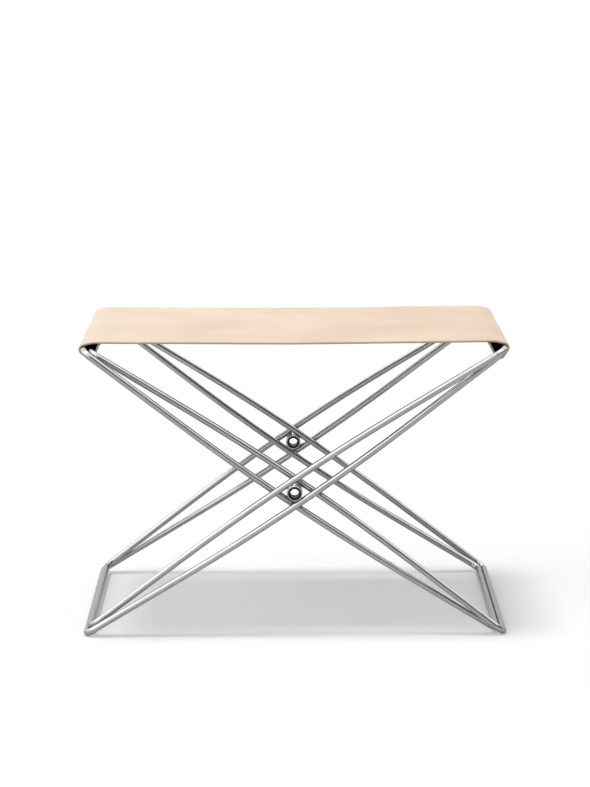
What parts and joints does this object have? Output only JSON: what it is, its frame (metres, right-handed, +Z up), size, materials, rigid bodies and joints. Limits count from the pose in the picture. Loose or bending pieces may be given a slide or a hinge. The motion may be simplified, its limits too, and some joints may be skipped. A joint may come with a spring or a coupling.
{
  "type": "folding stool",
  "caption": "Folding X frame stool: crossed frames of nested bent steel rod loops on hollow side pivots, with a thick leather seat strap wrapped round the top bars.",
  "frame": {"origin": "on the floor, under the middle of the seat", "axes": "+X along the stool from bar to bar, +Y from front to back along the pivots, +Z up"},
  "size_m": [0.57, 0.4526, 0.3927],
  "materials": {
    "steel_rod": "satin brushed stainless steel rod",
    "steel_ring": "turned stainless steel ring",
    "black_sleeve": "smooth black bearing plastic",
    "natural_leather": "pale vegetable tanned leather with burnished edges"
  },
  "bodies": {
    "outer_frame": {"outer_frame_upper_loop": "steel_rod", "outer_frame_lower_loop": "steel_rod", "outer_frame_pivot_ring_front": "steel_ring", "outer_frame_pivot_ring_back": "steel_ring", "pivot_sleeve_front": "black_sleeve", "pivot_sleeve_back": "black_sleeve", "pivot_washer_front": "black_sleeve", "pivot_washer_back": "black_sleeve", "leather_seat": "natural_leather"},
    "inner_frame": {"inner_frame_upper_loop": "steel_rod", "inner_frame_lower_loop": "steel_rod", "inner_frame_pivot_ring_front": "steel_ring", "inner_frame_pivot_ring_back": "steel_ring"}
  },
  "joints": [
    {"name": "fold", "type": "hinge", "parent": "outer_frame", "child": "inner_frame", "pos_m": [0, 0, 0.19332], "axis": [0, 1, 0], "range_deg": [0, 100], "deforming": ["leather_seat"]}
  ]
}
